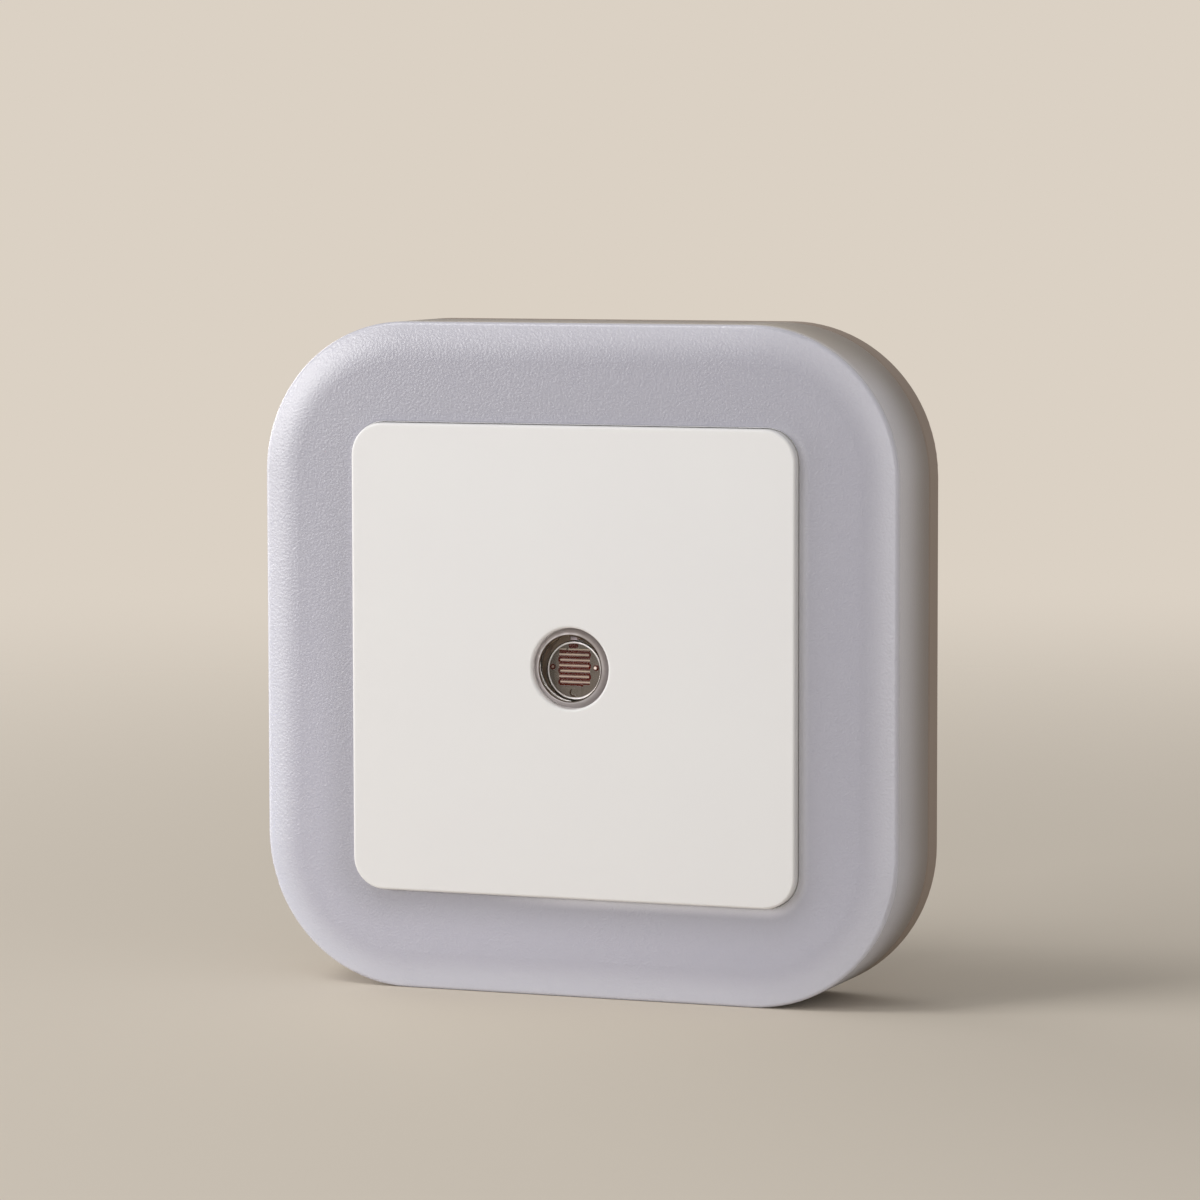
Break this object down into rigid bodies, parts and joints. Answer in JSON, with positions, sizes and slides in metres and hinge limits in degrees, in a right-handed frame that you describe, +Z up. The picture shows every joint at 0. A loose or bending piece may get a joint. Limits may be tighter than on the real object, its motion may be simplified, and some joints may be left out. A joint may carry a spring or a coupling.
{
  "type": "plug-in night light",
  "caption": "Square automatic plug-in night light: frosted rounded shell, raised square panel with a light-sensor window, flat two-blade plug behind.",
  "frame": {"origin": "on the wall face of the rear cover, midway between the plug blades, which is the middle of the square seen from the front", "axes": "+Y into the wall along the plug blades, -Y towards the room, +Z up, +X to the viewer's right"},
  "size_m": [0.064, 0.0309, 0.064],
  "materials": {
    "frosted_shell": "frosted translucent polycarbonate, satin",
    "panel_white": "fine matt moulded white",
    "cover_white": "satin moulded white",
    "blade_metal": "nickel-plated, stamped",
    "bezel_plating": "satin nickel plating on moulded ABS",
    "clear_window": "clear polished acrylic",
    "black_plastic": "matt black",
    "ceramic": "matt white ceramic",
    "track_red": "dark red-brown film under clear coat",
    "film_metal": "evaporated metal film",
    "clear_coat": "clear epoxy",
    "tinned_wire": "tinned",
    "board": "white solder resist",
    "zinc_steel": "zinc-plated",
    "solder": "bright solder",
    "led_white": "white moulded frame",
    "phosphor": "yellow phosphor in silicone",
    "capacitor_red": "dipped epoxy",
    "can_aluminium": "drawn can",
    "sleeve_dark": "shrunk sleeve",
    "bung_rubber": "moulded",
    "black_epoxy": "moulded epoxy",
    "resistor_beige": "lacquered",
    "resistor_blue": "lacquered"
  },
  "bodies": {
    "root": {"diffuser": "frosted_shell", "front_panel": "panel_white", "rear_cover": "cover_white", "plug_blade_left": "blade_metal", "plug_blade_right": "blade_metal", "sensor_bezel": "bezel_plating", "sensor_window": "clear_window", "light_shroud": "black_plastic", "photocell_substrate": "ceramic", "photocell_track": "track_red", "photocell_electrodes": "film_metal", "photocell_coat": "clear_coat", "photocell_leads": "tinned_wire", "circuit_board": "board", "board_screws": "zinc_steel", "solder_joints": "solder", "led_frames": "led_white", "led_phosphors": "phosphor", "film_capacitor": "capacitor_red", "film_capacitor_leads": "tinned_wire", "smoothing_capacitor_can": "can_aluminium", "smoothing_capacitor_sleeve": "sleeve_dark", "smoothing_capacitor_bung": "bung_rubber", "smoothing_capacitor_leads": "tinned_wire", "bridge_rectifier": "black_epoxy", "bridge_rectifier_legs": "tinned_wire", "transistor": "black_epoxy", "transistor_legs": "tinned_wire", "discharge_resistor": "resistor_beige", "fusible_resistor": "resistor_blue", "sensor_resistor": "resistor_beige", "resistor_leads": "tinned_wire"}
  },
  "joints": []
}
